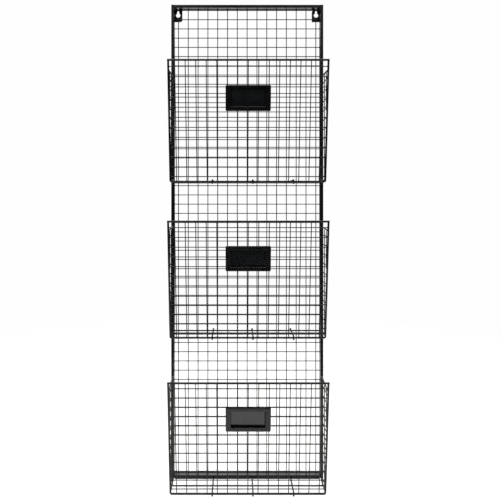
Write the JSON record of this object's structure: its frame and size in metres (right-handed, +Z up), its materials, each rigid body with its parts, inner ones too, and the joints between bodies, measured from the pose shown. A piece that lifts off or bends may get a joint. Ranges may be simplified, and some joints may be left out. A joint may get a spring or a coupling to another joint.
{
  "type": "hanging file rack",
  "caption": "Wall-hung file rack: a steel wire-grid back in a flat-bar frame, with tapered wire-grid pockets one above another, each with a card holder on its front.",
  "frame": {"origin": "on the wall plane, midway between the centres of the two keyholes that the rack hangs by", "axes": "+Z up, +X to the right as the user faces the rack, -Y out of the wall towards the user"},
  "size_m": [0.32, 0.098, 1.0065],
  "materials": {
    "bar_frame": "satin black powder coat",
    "thick_wire": "satin black powder coat",
    "mesh_wire": "satin black powder coat",
    "label_holder": "satin black powder coat"
  },
  "bodies": {
    "root": {"back_cross_wires": "mesh_wire", "back_upright_wires": "mesh_wire", "bottom_rail": "bar_frame", "left_hanger": "bar_frame", "left_stile": "bar_frame", "lower_floor_cross_wires": "thick_wire", "lower_floor_long_wires": "thick_wire", "lower_front_cross_wires": "mesh_wire", "lower_front_frame": "thick_wire", "lower_front_uprights": "mesh_wire", "lower_label_bezel": "label_holder", "lower_label_plate": "label_holder", "lower_left_side_cross_wires": "mesh_wire", "lower_left_side_frame": "thick_wire", "lower_left_side_uprights": "mesh_wire", "lower_right_side_cross_wires": "mesh_wire", "lower_right_side_frame": "thick_wire", "lower_right_side_uprights": "mesh_wire", "middle_floor_cross_wires": "thick_wire", "middle_floor_long_wires": "thick_wire", "middle_front_cross_wires": "mesh_wire", "middle_front_frame": "thick_wire", "middle_front_uprights": "mesh_wire", "middle_label_bezel": "label_holder", "middle_label_plate": "label_holder", "middle_left_side_cross_wires": "mesh_wire", "middle_left_side_frame": "thick_wire", "middle_left_side_uprights": "mesh_wire", "middle_right_side_cross_wires": "mesh_wire", "middle_right_side_frame": "thick_wire", "middle_right_side_uprights": "mesh_wire", "right_hanger": "bar_frame", "right_stile": "bar_frame", "top_rail": "bar_frame", "upper_floor_cross_wires": "thick_wire", "upper_floor_long_wires": "thick_wire", "upper_front_cross_wires": "mesh_wire", "upper_front_frame": "thick_wire", "upper_front_uprights": "mesh_wire", "upper_label_bezel": "label_holder", "upper_label_plate": "label_holder", "upper_left_side_cross_wires": "mesh_wire", "upper_left_side_frame": "thick_wire", "upper_left_side_uprights": "mesh_wire", "upper_right_side_cross_wires": "mesh_wire", "upper_right_side_frame": "thick_wire", "upper_right_side_uprights": "mesh_wire"}
  },
  "joints": []
}
